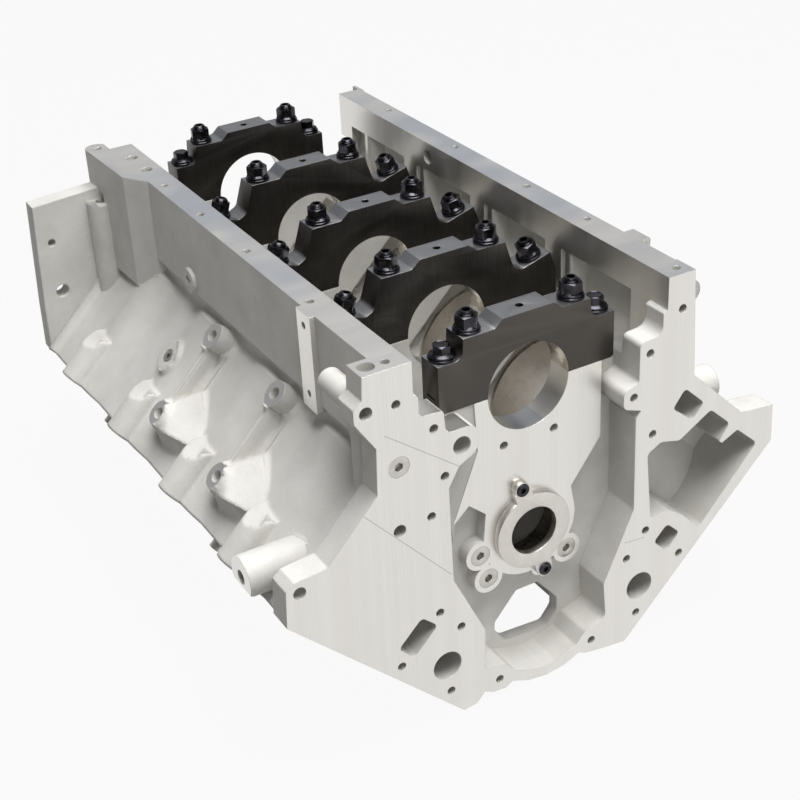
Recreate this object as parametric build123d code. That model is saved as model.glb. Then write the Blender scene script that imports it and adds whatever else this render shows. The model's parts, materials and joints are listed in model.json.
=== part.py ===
from build123d import *
from math import cos, hypot, pi, radians, sin, sqrt, tan
import os

# Aluminium eight-cylinder vee block, upside down as on an engine stand: the pan rails point up.
# X runs across the engine, Y along the crankshaft from front to rear, Z up.
# The origin is on the crankshaft axis, at the middle of the front main bearing.

# crank line and main bearings
bore_spacing = 111.76
rear_bay_extra = 9.8
main_bore_r = 34.93
crank_to_cam = 123.5
cap_thickness = 22.2
saddle_z = 0.0

# cylinder banks, each leaning 45 degrees from the vertical
deck_height = 232.8
bank_stagger = 24.0
sleeve_wall = 3.0
sleeve_lip_gap = 1.76
sleeve_lip_reach = 1.2
sleeve_lip_h = 6.0
sleeve_length = 138.0
barrel_wall = 20.2
bank_wall = 67.0
deck_inner = 125.0
deck_outer = 74.0

# pan rails and skirts
rail_z = 63.5
rail_inner = 107.5
rail_outer = 130.0
skirt_bottom = -10.0
skirt_undercut = 8.5
band_low = 37.0
pan_hole_x = 122.0

# front and rear faces
front_y = -32.4
front_plate = 21.3
rear_overhang = 21.76
rear_flange = 17.0
bell_half_width = 210.0
bell_top = 29.0

# camshaft line
cam_tunnel_r = 29.6
cam_bearing_wall = 2.1
ring_thickness = 6.0
ring_outer_r = 32.5
ring_hole_r = 20.2
ring_screw_reach = 41.0
ring_screw_lean = 14.0

# valley between the banks
valley_half = 60.0
valley_roof = -170.0
lifter_r = 10.7
front_floor_y = 0.0

# main caps
cap_top = 63.1
cap_land = 21.3
cap_pad = 56.7
cap_shoulder = 55.0
cap_wing_low = 29.0
cap_wing_tip = 37.0
cap_wing_root = 70.0
cap_half = 102.5
end_cap_top = 60.3
end_cap_pad = 54.2
end_cap_step = 38.2
end_cap_half = 75.2
wing_reach = 97.0

# fasteners
inner_stud_x = 44.3
outer_stud_x = 83.9
end_bolt_x = 65.4
stud_r = 5.55
washer_r = 10.2
washer_t = 2.2
nut_flats = 15.3
nut_h = 10.8
nut_flange_r = 9.3
bolt_r = 4.0
bolt_flats = 12.0
bolt_head_h = 9.2
bolt_flange_r = 9.2
stud_above_nut = 3.0
stud_in_block = 62.0
wing_stud_in_block = 45.0
bolt_in_block = 28.0

# holes and plugs
front_hole_r = 3.5
pan_hole_r = 3.4
pan_hole_depth = 18.0
rear_pan_hole_r = 5.6
mount_hole_r = 5.0
mount_hole_depth = 25.0
head_hole_r = 5.0
head_hole_out = 59.5
head_hole_depth = 30.0
plug_r = 8.4
plug_depth = 10.0
plug_lobe = 12.6
dowel_r = 7.0
dowel_bore_r = 5.0
dowel_h = 16.0
dowel_proud = 6.0

# bosses and ribs on the outboard walls
mount_rows = (115.7, 192.8)
mount_out = 86.0
mount_boss_r = 11.0
boss_draft = 2.5
boss_root = 12.0
mount_web = 4.4
mount_web_out = 83.5
wedge_rise = 0.6
column_r = 15.5
column_out = 71.5
column_start = 186.0
drain_r = 6.0
drain_depth = 156.0
drain_boss_r = 13.5

half = sqrt(0.5)
main_y = [k * bore_spacing for k in range(4)] + [4 * bore_spacing + rear_bay_extra]
sides = (-1, 1)
left, right = sides
plate_back = front_y + front_plate
web_front = -cap_thickness / 2
rear_y = main_y[-1] + rear_overhang
bell_front = rear_y - rear_flange
rear_seat = main_y[-1] + cap_thickness / 2
cam_z = saddle_z - crank_to_cam
sleeve_lip_r = (bore_spacing - sleeve_lip_gap) / 2
seat_r = sleeve_lip_r - sleeve_lip_reach
cylinder_r = seat_r - sleeve_wall
barrel_r = seat_r + barrel_wall
lifter_step = 0.188 * bore_spacing
drain_out = barrel_r + 1.5
past = 5.0

# places along the block, which differ from bank to bank
drain_y = {left: 2.5 * bore_spacing + 6.6, right: 2.5 * bore_spacing + 30.6}
mount_places = {left: (bore_spacing + 6.94, 2 * bore_spacing + 9.08),
                right: (bore_spacing + 30.94, 2 * bore_spacing + 33.08)}
pan_hole_y = {left: (86.8, 192.8, 280.3, 356.0), right: (86.8, 169.8, 280.3, 397.9)}
rear_pan_hole_y = (rear_y - 78.4, rear_y - 43.9)
sensor_eye_y = {left: 297.0, right: 185.0}
rail_pad_y = {left: 74.5, right: 40.0}
rail_pad_proud = {left: 4.2, right: 9.0}
bell_ear_hole = {left: (bell_half_width - 12.5, -8.4, 3.4), right: (bell_half_width - 22, -22.0, 3.4)}
spigots = {left: (226.3, 17.0, -95.0, 16.0), right: (213.0, 41.0, -90.0, 15.0)}
bay_columns = [(17.0, 8.0), (17.0, 8.0), (17.0, 8.0), (24.0, 30.0)]
spigot_length = 72.0
spigot_hole_r = 5.6
spigot_hole_depth = 22.0


def bank_point(depth, out, side):
    """Point of the cross-section, from its depth along the cylinders and its reach outboard."""
    return side * (depth + out) * half, (out - depth) * half


def bank_plane(depth, out, side, y):
    """Plane across the cylinders of one bank: its x axis points outboard and its z axis to the deck."""
    x, z = bank_point(depth, out, side)
    return Plane(origin=(x, y, z), x_dir=(side * half, 0, half), z_dir=(side * half, 0, -half))


def side_plane(depth, out, side, y):
    """Plane on the outboard wall of one bank, with its z axis pointing outboard."""
    x, z = bank_point(depth, out, side)
    return Plane(origin=(x, y, z), x_dir=(0, 1, 0), z_dir=(side * half, 0, half))


def cylinder_y(number, side):
    return bore_spacing * (number + 0.5) + side * bank_stagger / 2


def prism(points, y0, y1, radii=None):
    """Outline in the XZ plane, carried along Y from y0 to y1."""
    corners = [(x, y0, z) for x, z in points]
    if radii is None:
        path = Polyline(*corners, close=True)
    else:
        path = FilletPolyline(*corners, radius=radii, close=True)
    return extrude(make_face(path.edges()), amount=y1 - y0, dir=(0, 1, 0))


def plan_prism(points, z0, z1):
    """Outline in the XY plane, carried up from z0 to z1."""
    path = Polyline(*[(x, y, z0) for x, y in points], close=True)
    return extrude(make_face(path.edges()), amount=z1 - z0, dir=(0, 0, 1))


def rod(start, direction, radius, length):
    low = (Align.CENTER, Align.CENTER, Align.MIN)
    return Plane(origin=start, z_dir=direction) * Cylinder(radius, length, align=low)


def rod_y(x, z, radius, y0, y1):
    return rod((x, y0, z), (0, 1, 0), radius, y1 - y0)


def bank_rod(side, y, out, radius, deep, shallow):
    low = (Align.CENTER, Align.CENTER, Align.MIN)
    return bank_plane(deep, out, side, y) * Cylinder(radius, shallow - deep, align=low)


def bank_box(side, y, out0, out1, depth0, depth1, length):
    mid = (out0 + out1) / 2
    low = (Align.CENTER, Align.CENTER, Align.MIN)
    return bank_plane(depth0, mid, side, y) * Box(out1 - out0, length, depth1 - depth0, align=low)


def mirrored(points):
    """Left half of a symmetric outline, then its mirror image in reverse order."""
    return points + [(-x, z) for x, z in reversed(points)]


# ---- outlines of the casting


def front_outline():
    lobe_x, lobe_z = 43.3, -237.4
    rim_r = 64.0
    arc_mid = -189.0
    left_half = [
        (-rail_inner, rail_z),
        (-145.5, rail_z),
        (-146.6, 46.0),
        (-153.5, 40.5),
        (-153.5, 30.0),
        (-138.0, 5.7),
        (-139.4, -31.5),
        bank_point(181.2, 75.2, left),
        (-208.0, -77.5),
        (-214.5, -83.0),
        bank_point(deck_height, deck_outer - 1, left),
        bank_point(deck_height, -deck_inner, left),
        (-64.6, -251.5),
        (-57.0, -243.6),
        (-lobe_x - 6, lobe_z - 10),
        (-38.0, -248.5),
        (-31.5, arc_mid - 55.7),
    ]
    rim = [(rim_r * sin(radians(a)), arc_mid - rim_r * cos(radians(a))) for a in (-15, 0, 15)]
    right_half = [
        (31.5, arc_mid - 55.7),
        (38.0, lobe_z - 10.5),
        (54.0, -250.5),
        bank_point(deck_height, -deck_inner, right),
        bank_point(deck_height, deck_outer + 1, right),
        (216.5, -79.0),
        (185.0, -75.2),
        (135.3, -25.6),
        (131.4, rail_z),
        (rail_inner, rail_z),
    ]
    return left_half + rim + right_half


def recess_outline():
    """Opening inside the front plate: both banks of the plate stand round it."""
    left_side = [
        (-rail_inner, rail_z + 20),
        (-rail_inner, 37.5),
        (-103.8, 35.0),
        (-103.8, 19.0),
        (-84.5, 18.0),
        (-83.0, -1.0),
        (-57.0, -1.0),
        (-57.0, -22.0),
        (-73.7, -31.5),
        (-82.4, -46.8),
        (-81.4, -127.0),
        (-55.3, -184.0),
        (-56.8, -221.0),
        (-37.0, -226.0),
        (-28.4, -236.0),
    ]
    rim = [(54.6 * sin(radians(a)), -189 - 54.6 * cos(radians(a))) for a in (-10, 0, 10)]
    right_side = [
        (28.4, -236.0),
        (37.0, -226.0),
        (56.8, -220.0),
        (54.4, -187.3),
        (81.8, -127.0),
        (81.2, -46.0),
        (86.0, -40.0),
        (69.5, -34.0),
        (69.5, -20.0),
        (83.3, -15.0),
        (83.3, 17.0),
        (103.6, 18.5),
        (103.6, 35.5),
        (rail_inner, 37.5),
        (rail_inner, rail_z + 20),
    ]
    left_radii = [0, 0, 1, 4, 3, 4, 9, 9, 3, 2, 5, 6, 4, 4, 3]
    right_radii = [3, 4, 6, 5, 5, 2, 1, 6, 6, 3, 4, 8, 1, 0, 0]
    return left_side + rim + right_side, left_radii + [0, 0, 0] + right_radii


def body_outline():
    crease = skirt_bottom - 12
    half_body = [
        (-rail_outer, rail_z),
        (-rail_outer, skirt_bottom),
        (crease - bank_wall / half, crease),
        bank_point(deck_height, bank_wall, left),
        bank_point(deck_height, -deck_inner, left),
        (-valley_half - 7, -(deck_height + deck_inner) * half),
    ]
    return mirrored(half_body)


def rear_outline():
    """Rear flange: its left ear stands up beside the rail, and its right one lies lower."""
    valley_floor = -(deck_height + deck_inner) * half
    left_half = [
        (-145.5, rail_z),
        (-147.0, bell_top + 4),
        (-bell_half_width, bell_top),
        (-bell_half_width - 4, -70.0),
        bank_point(deck_height, deck_outer - 3, left),
        bank_point(deck_height, -deck_inner, left),
        (-valley_half, valley_floor),
    ]
    right_half = [
        (valley_half, valley_floor),
        bank_point(deck_height, -deck_inner, right),
        bank_point(deck_height, deck_outer - 3, right),
        (bell_half_width + 4, -70.0),
        (bell_half_width - 5, -12.0),
        (150.0, 25.0),
        (133.0, 40.0),
        (rail_outer + 1.5, rail_z),
    ]
    return left_half + right_half


def web_outline():
    """Machined front face of the first bulkhead, with its lobes round the camshaft."""
    return [
        (-46.5, saddle_z),
        (-44.6, -40.5),
        (-67.6, -97.1),
        (-53.4, -84.5),
        (-39.0, -97.2),
        (-42.0, -125.0),
        (42.0, -125.0),
        (38.0, -100.4),
        (64.8, -65.0),
        (64.8, saddle_z),
    ]


# ---- casting


def crank_bay(number):
    """Room for one crank throw, open to the oil pan, with a round column left standing in each skirt."""
    y0 = main_y[number] + cap_thickness / 2
    y1 = main_y[number + 1] - cap_thickness / 2
    mouth = deck_height - sleeve_length + 4
    low = bank_point(mouth, rail_inner * sqrt(2) - mouth, left)
    floor_z = cam_z + cam_tunnel_r + 8
    toe = mouth * sqrt(2) + floor_z
    half_bay = [
        (-rail_inner, rail_z + 20),
        (-rail_inner, band_low),
        (-rail_inner - skirt_undercut, band_low - 5),
        (-rail_inner - skirt_undercut, skirt_bottom + 14),
        low,
        (-toe, floor_z),
    ]
    radii = [0, 0, 3, 8, 6, 10]
    bay = prism(mirrored(half_bay), y0, y1, radii + radii[::-1])
    r, ahead = bay_columns[number]
    reach = band_low - low[1] + past
    tops = [(side * (rail_inner + r), y1 - ahead, band_low) for side in sides]
    return bay - [rod(top, (0, 0, -1), r, reach) for top in tops]


def valley():
    low = -(deck_height + deck_inner) * half - 20
    points = [
        (-valley_half, low),
        (-valley_half, -212.0),
        (-34.0, valley_roof),
        (34.0, valley_roof),
        (valley_half, -212.0),
        (valley_half, low),
    ]
    return prism(points, front_floor_y + 10, bell_front - 4, [0, 8, 8, 8, 8, 0])


def front_window():
    points = [
        (13.7, -188.0),
        (32.5, -210.5),
        (32.5, -223.0),
        (22.8, -235.5),
        (-16.7, -233.0),
        (-26.6, -219.0),
        (-26.4, -211.0),
        (-6.0, -188.0),
    ]
    return prism(points, front_floor_y - 5, front_floor_y + 15, [3, 3, 6, 6, 6, 4, 4, 3])


def sleeve_seat(number, side):
    y = cylinder_y(number, side)
    deep = deck_height - sleeve_length
    seat = bank_rod(side, y, 0, seat_r, deep - 22, deck_height + 5)
    lip = bank_rod(side, y, 0, sleeve_lip_r, deck_height - sleeve_lip_h, deck_height + 5)
    return [seat, lip]


def lifter_cuts(number, side):
    """Pushrod window in the deck, with the two lifter bores behind it."""
    y = cylinder_y(number, side)
    line = cam_z * half
    window = bank_box(side, y, line - 13, line + 11, 160, deck_height + 5, bore_spacing * 0.74)
    steps = (-lifter_step, lifter_step)
    return [window] + [bank_rod(side, y + step, line, lifter_r, -line + 16, 162) for step in steps]


def recess_tool():
    points, radii = recess_outline()
    opening = prism(points, front_y - 5, front_floor_y, radii)
    web = prism(web_outline(), web_front, front_floor_y + 5)
    lobes = [rod_y(x, z, r, web_front, front_floor_y + 5) for x, z, r in web_lobes()]
    return opening - ([web] + lobes)


def ring_screw_places():
    lean = radians(ring_screw_lean)
    dx, dz = ring_screw_reach * sin(lean), ring_screw_reach * cos(lean)
    return [(-dx, cam_z + dz), (dx, cam_z - dz)]


def gallery_places():
    return [(-44.7, cam_z - 9.7), (-37.9, cam_z - 33.0), (34.0, cam_z - 33.0)]


def web_lobes():
    lobes = [(0, cam_z, ring_outer_r + 9)]
    lobes += [(x, z, plug_lobe) for x, z in gallery_places()]
    lobes += [(x, z, 9.0) for x, z in ring_screw_places()]
    return lobes


def bank_pockets():
    """Cast windows in the set-back bank, cut behind the front plate down to its first barrel."""
    small = [(127.3, -34.5), (146.0, -52.8), (135.7, -65.0), (116.0, -49.0)]
    large = [
        (153.5, -62.0),
        (173.0, -80.6),
        (163.6, -94.0),
        (166.5, -96.5),
        (181.7, -89.5),
        (202.5, -108.8),
        (147.5, -169.0),
        (130.6, -151.0),
        (115.3, -139.7),
        (98.3, -142.0),
        (93.2, -81.2),
        (106.0, -74.5),
        (123.7, -79.3),
    ]
    barrel = bank_rod(right, cylinder_y(0, right), 0, cylinder_r + 11, 80, deck_height)
    floor_y = plate_back + 28
    deep = prism(large, front_y - 5, floor_y, [4, 4, 1, 1, 3, 4, 4, 3, 5, 4, 5, 6, 5])
    return [prism(small, front_y - 5, plate_back + 14, 3.5), deep - barrel]


def front_ports():
    oblong = [(-109.5, -149.5), (-96.3, -161.8), (-117.4, -183.0), (-130.0, -169.7)]
    square = [bank_point(d, s, right) for d, s in ((190, -45), (190, -27), (208, -27), (208, -45))]
    holes = [prism(oblong, front_y - 5, front_y + 34, 4.0), prism(square, front_y - 5, front_y + 34, 4.0)]
    return holes + [rod_y(s * 89.4, -203.0, 12.2, front_y - 5, front_y + 40) for s in sides]


def front_threaded():
    """Timing-cover and pump threads in the front face."""
    both = [(121.1, 34.8), (92.7, 6.2), (97.5, -64.6), (93.9, -151.3), (76.2, -171.6)]
    both += [(128.2, -186.3), (87.0, -228.4), (43.3, -237.3)]
    places = [(s * x, z) for s in sides for x, z in both]
    places += [(-85.3, -35.2), (78.8, -26.6)]
    cuts = [rod_y(x, z, front_hole_r, front_y - 5, front_y + 18) for x, z in places]
    for x, z in ((-144.2, 35.4), (-123.5, -67.0), (-204.2, -87.4)):
        cuts.append(rod_y(x, z, mount_hole_r, front_y - past, front_y + 22))
    cuts.append(rod_y(-70.6, -15.0, 7.2, front_y - 5, front_y + 30))
    cuts += [rod_y(s * 22.1, -43.4, front_hole_r, web_front - 5, web_front + 9) for s in sides]
    return cuts


def plug_places():
    """Start point, axis and radius of each screwed plug in the casting."""
    places = [((x, web_front, z), (0, 1, 0)) for x, z in gallery_places()]
    places.append(((-121.3, front_y, -14.8), (0, 1, 0)))
    return places


def plug_cuts():
    return [rod(Vector(*p) - Vector(*d) * 5, d, plug_r, 5 + plug_depth) for p, d in plug_places()]


def drilled_down(x, y, radius, depth):
    """Hole down into the pan rail."""
    return rod((x, y, rail_z + past), (0, 0, -1), radius, depth + past)


def pan_rail_holes():
    holes = []
    for side in sides:
        for y in (front_y + 10.3,) + pan_hole_y[side]:
            holes.append(drilled_down(side * pan_hole_x, y, pan_hole_r, pan_hole_depth))
    holes.append(drilled_down(-rail_outer - 6.2, front_y + 11.6, 6.4, 16))
    holes.append(drilled_down(-rail_outer - 6.9, rear_y - 3, pan_hole_r, 15))
    return holes + [drilled_down(1.4 - pan_hole_x, y, rear_pan_hole_r, 20) for y in rear_pan_hole_y]


def skirt_extras(side):
    """Stiffening pads and columns that stand out of one skirt."""
    pad_y = rail_pad_y[side]
    inner, outer = side * (rail_inner + 8), side * (rail_outer + rail_pad_proud[side])
    corners = [(inner, pad_y - 10.5), (outer, pad_y - 10.5), (outer, pad_y + 10.5), (inner, pad_y + 10.5)]
    pads = [plan_prism(corners, skirt_bottom - 6, rail_z)]
    if side == left:
        wide = [
            (-rail_inner - 4, rear_y - 108.6),
            (-rail_outer - 1, rear_y - 104.6),
            (-rail_outer - 14.5, rear_y - 82.6),
            (-rail_outer - 17.5, rear_y),
            (-rail_inner - 4, rear_y),
        ]
        pads.append(plan_prism(wide, skirt_bottom - 30, rail_z))
        ear_foot = bell_top - 6
        pads.append(rod((-rail_outer - 7.5, rear_y - 1, ear_foot), (0, 0, 1), 10.5, rail_z - ear_foot))
    pads.append(rod((side * (bell_half_width - 62.3), bell_front - 6, -70), (0, 0, 1), 13, 92))
    pads.append(rod((side * (rail_outer - 3), plate_back + 9, -46), (0, 0, 1), 13, 66))
    stub = 34 if side == left else 0
    pads.append(rod_y(side * (rail_outer + 12), 35.4, 9.5, plate_back - 4, plate_back + stub))
    pads.append(rod((side * (rail_outer - 6), sensor_eye_y[side], 0), (side, 0, 0), 11, 9.5))
    return pads


def bank_extras(side):
    """Barrels and head-bolt columns on the outboard wall of one bank."""
    pieces = []
    for number in range(4):
        pieces.append(bank_rod(side, cylinder_y(number, side), 0, barrel_r, 110, deck_height))
        column_y = bore_spacing * (number + 0.5)
        column = bank_rod(side, column_y, column_out, column_r, column_start, deck_height)
        cut = side_plane(column_start, bank_wall + 22, side, column_y) * Rot(0, 35, 0) * Box(40, 40, 22)
        pieces.append(column - cut)
    return pieces


def wall_boss(side, row, y, radius, out):
    """Drafted round boss on the outboard wall, rooted below its surface."""
    low = (Align.CENTER, Align.CENTER, Align.MIN)
    base = side_plane(row, bank_wall - boss_root, side, y)
    return base * Cone(radius + boss_draft, radius, out - bank_wall + boss_root, align=low)


def deckward(side):
    """Which way the local y axis of a side plane runs: 1 towards the deck, -1 away from it."""
    plane = side_plane(0, 0, side, 0)
    return 1 if plane.y_dir.dot(Vector(side * half, 0, -half)) > 0 else -1


def mount_wedge(side, y):
    """Sloping wedge that falls from a lower mount boss to the barrel in front of it."""
    corners = [(-5.7, -15.8), (-13.7, -34.8), (-33.7, -20.8), (-49.7, -1.3), (-52.7, 2.2), (-6.7, 11.2)]
    turn = deckward(side)
    base = side_plane(mount_rows[1], bank_wall - boss_root, side, y)
    outline = Polyline(*[(a, turn * b) for a, b in corners], close=True)
    block = extrude(base * make_face(outline.edges()), amount=mount_out - bank_wall + boss_root - 1)
    foot = side_plane(mount_rows[1], bank_wall + 2, side, y)
    fall_y, fall_deck = 0.774 * wedge_rise, 0.635 * wedge_rise
    origin = foot.from_local_coords(Vector(-33.7, turn * -20.8, 0))
    slope = foot.x_dir * -fall_y + foot.y_dir * (-turn * fall_deck) + foot.z_dir
    above = Plane(origin=origin, x_dir=foot.x_dir + foot.z_dir * fall_y, z_dir=slope)
    low = (Align.CENTER, Align.CENTER, Align.MIN)
    return block - above * Box(160, 160, 60, align=low)


def mount_bosses(side):
    """Engine-mount bosses of one bank, each pair tied by a thin web, with a wedge at the lower one."""
    upper, lower = mount_rows
    pieces = []
    for y in mount_places[side]:
        pieces += [wall_boss(side, row, y, mount_boss_r, mount_out) for row in mount_rows]
        pieces.append(bank_box(side, y, bank_wall - boss_root, mount_web_out, upper, lower, mount_web))
        pieces.append(bank_box(side, y - 5.5, bank_wall - boss_root, bank_wall + 2.5, upper, lower, 11))
        pieces.append(mount_wedge(side, y))
    return pieces


def mount_holes(side):
    return [rod(side_plane(row, mount_out + past, side, y).origin, (-side * half, 0, -half),
                mount_hole_r, mount_hole_depth + past)
            for row in mount_rows for y in mount_places[side]]


def drain_boss(side):
    return wall_boss(side, drain_depth, drain_y[side], drain_boss_r, drain_out)


def side_spigots(side):
    """Sensor boss that stands straight out sideways beside the front corner of one deck."""
    x, y, z, r = spigots[side]
    return rod((side * x, y, z), (-side, 0, 0), r, spigot_length)


def spigot_hole(side):
    x, y, z, r = spigots[side]
    return rod((side * (x + past), y, z), (-side, 0, 0), spigot_hole_r, spigot_hole_depth + past)


def drain_hole(side):
    start = side_plane(drain_depth, drain_out + past, side, drain_y[side]).origin
    return rod(start, (-side * half, 0, -half), drain_r, past + plug_depth)


def side_holes(side):
    """Sensor eye, rail pad and bell-housing holes of one side."""
    holes = [rod((side * (rail_outer + 9), sensor_eye_y[side], 1), (-side, 0, 0), 4.0, 19)]
    for z in (rail_z - 10.5, skirt_bottom + 7):
        holes.append(rod((side * (rail_outer + 14), rail_pad_y[side], z), (-side, 0, 0), 2.9, 24))
    for x, z, r in (bell_ear_hole[side], (bell_half_width - 15.3, -57.3, 6.2)):
        holes.append(rod_y(side * x, z, r, bell_front - past, rear_y + past))
    holes.append(rod((side * (bell_half_width - 62.3), bell_front - 6, 30), (0, 0, -1), 5.2, 26))
    return holes


def head_bolt_holes(side):
    holes = []
    for number in range(5):
        y = bore_spacing * number + side * bank_stagger / 2
        y = min(max(y, plate_back - 4), bell_front + 2)
        for out in (-head_hole_out, head_hole_out):
            foot = deck_height - head_hole_depth
            holes.append(bank_rod(side, y, out, head_hole_r, foot, deck_height + past))
        holes.append(bank_rod(side, y, -deck_inner + 9, 3.4, deck_height - 20, deck_height + past))
    for number in range(4):
        y = bore_spacing * (number + 0.5)
        holes.append(bank_rod(side, y, bank_wall + 8, 4.4, deck_height - 24, deck_height + past))
    return holes


def stud_axis(side):
    """Point on the wing pad and the direction of its leaning stud."""
    rise = cap_wing_tip - cap_wing_low
    run = wing_reach - cap_wing_root
    z = cap_wing_low + rise * (outer_stud_x - cap_wing_root) / run
    length = hypot(rise, run)
    return (side * outer_stud_x, z), (-side * rise / length, run / length)


def stud_holes():
    cuts = []
    for number, y in enumerate(main_y):
        for side in sides:
            cuts.append(rod((side * inner_stud_x, y, saddle_z + 5), (0, 0, -1), stud_r, 5 + stud_in_block))
            if number in (0, 4):
                start = (side * end_bolt_x, y, saddle_z + past)
                cuts.append(rod(start, (0, 0, -1), bolt_r, past + bolt_in_block))
            else:
                (x, z), (dx, dz) = stud_axis(side)
                start = (x, y, z)
                cuts.append(rod(start, (-dx, 0, -dz), stud_r, z / dz + wing_stud_in_block))
    return cuts


def cap_seats():
    """Flat saddles that the main caps stand on, cut between the skirts."""
    cuts = []
    for number, y in enumerate(main_y):
        y0 = front_y - 5 if number == 0 else y - cap_thickness / 2 - 0.5
        y1 = rear_y + 5 if number == 4 else y + cap_thickness / 2 + 0.5
        if number == 0:
            y0 = web_front - 0.5
        cuts.append(prism([(-rail_inner, saddle_z), (rail_inner, saddle_z),
                           (rail_inner, rail_z + 20), (-rail_inner, rail_z + 20)], y0, y1))
    return cuts


def rear_seat_cut():
    """The rear cover seat, set in from the bell-housing face between the rails."""
    half_seat = [(-128.5, rail_z + 20), (-128.5, -20), (-80, -150)]
    return prism(mirrored(half_seat), rear_seat, rear_y + past, [0, 8, 12, 12, 8, 0])


def rear_holes():
    """Bell-housing, rear-cover and gallery holes in the back of the block."""
    cuts = []
    for side in sides:
        for x, z in ((110, 20), (96, -70), (66, -128)):
            cuts.append(rod_y(side * x, z, front_hole_r, rear_seat - 16, rear_y + 5))
        for x, z in ((150, -120), (100, -190)):
            cuts.append(rod_y(side * x, z, mount_hole_r, rear_y - 30, rear_y + 5))
    return cuts


def bell_dowel_places():
    return [(side * (bell_half_width - 32), -95.0) for side in sides]


def deck_dowel_places():
    """Bank side, place along the block and reach of each hollow locating dowel."""
    return [(side, y + side * bank_stagger / 2, head_hole_out) for side in sides
            for y in (bore_spacing, 3 * bore_spacing)]


def main_bore_cut():
    return rod_y(0, saddle_z, main_bore_r, front_y - 10, rear_y + 10)


def cam_tunnel_cut():
    return rod_y(0, cam_z, cam_tunnel_r, front_y - 10, rear_y + 10)


def rail_port():
    return rod((rail_inner - 5, 304.2, 50.0), (1, 0, 0), 6.5, 14)


def make_casting():
    plate = prism(front_outline(), front_y, plate_back)
    body = prism(body_outline(), plate_back, bell_front)
    flange = prism(rear_outline(), bell_front, rear_y)
    added = [body, flange]
    for side in sides:
        added += skirt_extras(side) + bank_extras(side) + mount_bosses(side)
        added += [drain_boss(side), side_spigots(side)]
    casting = plate.fuse(*added)
    long, wide = rear_y * 2, bell_half_width * 3
    over_deck = deck_height + 60
    trims = [bank_box(side, rear_y / 2, -wide / 2, wide / 2, deck_height, over_deck, long) for side in sides]
    trims.append(Pos(0, rear_y / 2, rail_z + 30) * Box(wide, long, 60))
    cuts = trims + [crank_bay(number) for number in range(4)] + cap_seats()
    cuts += [valley(), front_window(), recess_tool(), main_bore_cut(), cam_tunnel_cut(), rear_seat_cut()]
    for side in sides:
        for number in range(4):
            cuts += sleeve_seat(number, side) + lifter_cuts(number, side)
        cuts += mount_holes(side) + side_holes(side) + head_bolt_holes(side)
        cuts += [drain_hole(side), spigot_hole(side)]
    cuts += bank_pockets() + front_ports() + front_threaded() + plug_cuts() + pan_rail_holes()
    cuts += stud_holes() + rear_holes() + [rail_port()]
    cuts += [rod_y(x, z, 3.0, web_front - 5, web_front + 14) for x, z in ring_screw_places()]
    cuts += [rod_y(x, z, dowel_r, rear_y - dowel_h + dowel_proud, rear_y + 5) for x, z in bell_dowel_places()]
    for side, y, out in deck_dowel_places():
        cuts.append(bank_rod(side, y, out, dowel_r, deck_height - dowel_h + dowel_proud, deck_height + 5))
    return casting.cut(*cuts)


# ---- main caps


def middle_cap_outline():
    half_cap = [
        (-cap_land, cap_top),
        (-cap_land - 7.5, cap_pad),
        (-cap_shoulder, cap_pad),
        (-cap_wing_root + 7.5, cap_wing_low + 4),
        (-cap_wing_root, cap_wing_low),
        (-wing_reach, cap_wing_tip),
        (-cap_half, 21.0),
        (-cap_half, saddle_z),
    ]
    radii = [0, 5, 0, 6, 5, 0, 0, 0]
    return mirrored(half_cap), radii + radii[::-1]


def end_cap_outline():
    half_cap = [
        (-cap_land, end_cap_top),
        (-cap_land - 6.6, end_cap_pad),
        (-54.0, end_cap_pad),
        (-55.0, end_cap_step),
        (-end_cap_half, end_cap_step),
        (-end_cap_half, saddle_z + 2),
        (-end_cap_half + 2, saddle_z),
    ]
    radii = [0, 5, 0, 7, 0, 0, 0]
    return mirrored(half_cap), radii + radii[::-1]


def make_cap(number):
    y = main_y[number]
    y0, y1 = y - cap_thickness / 2, y + cap_thickness / 2
    is_end = number in (0, 4)
    points, radii = end_cap_outline() if is_end else middle_cap_outline()
    cap = prism(points, y0, y1, radii)
    top = end_cap_top if is_end else cap_top
    cuts = [rod_y(0, saddle_z, main_bore_r, y0 - 5, y1 + 5), rod((0, y, top + 5), (0, 0, -1), 3.0, 17)]
    for side in sides:
        cuts.append(rod((side * inner_stud_x, y, saddle_z - 5), (0, 0, 1), stud_r, top + 10))
        if is_end:
            cuts.append(rod((side * end_bolt_x, y, saddle_z - 5), (0, 0, 1), bolt_r, end_cap_step + 10))
            cuts.append(rod((side * end_bolt_x, y, end_cap_step), (0, 0, 1), washer_r + 0.2, 30))
        else:
            (x, z), (dx, dz) = stud_axis(side)
            cuts.append(rod((x + dx * 5, y, z + dz * 5), (-dx, 0, -dz), stud_r, z / dz + 12))
        slot_x = end_cap_half if is_end else cap_half
        cuts.append(Pos(side * slot_x, y, 9.5) * Box(5, cap_thickness * 0.5, 2.4))
    return cap.cut(*cuts)


# ---- pieces fitted to the casting


def make_sleeve(number, side):
    y = cylinder_y(number, side)
    deep = deck_height - sleeve_length
    tube = bank_rod(side, y, 0, seat_r, deep, deck_height)
    lip = bank_rod(side, y, 0, sleeve_lip_r, deck_height - sleeve_lip_h, deck_height)
    bore = bank_rod(side, y, 0, cylinder_r, deep - 5, deck_height + 5)
    return tube.fuse(lip).cut(bore)


def make_cam_bearing(number):
    y = main_y[number]
    outer = rod_y(0, cam_z, cam_tunnel_r, y - 9, y + 9)
    inner = rod_y(0, cam_z, cam_tunnel_r - cam_bearing_wall, y - 12, y + 12)
    return outer - inner


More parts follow.
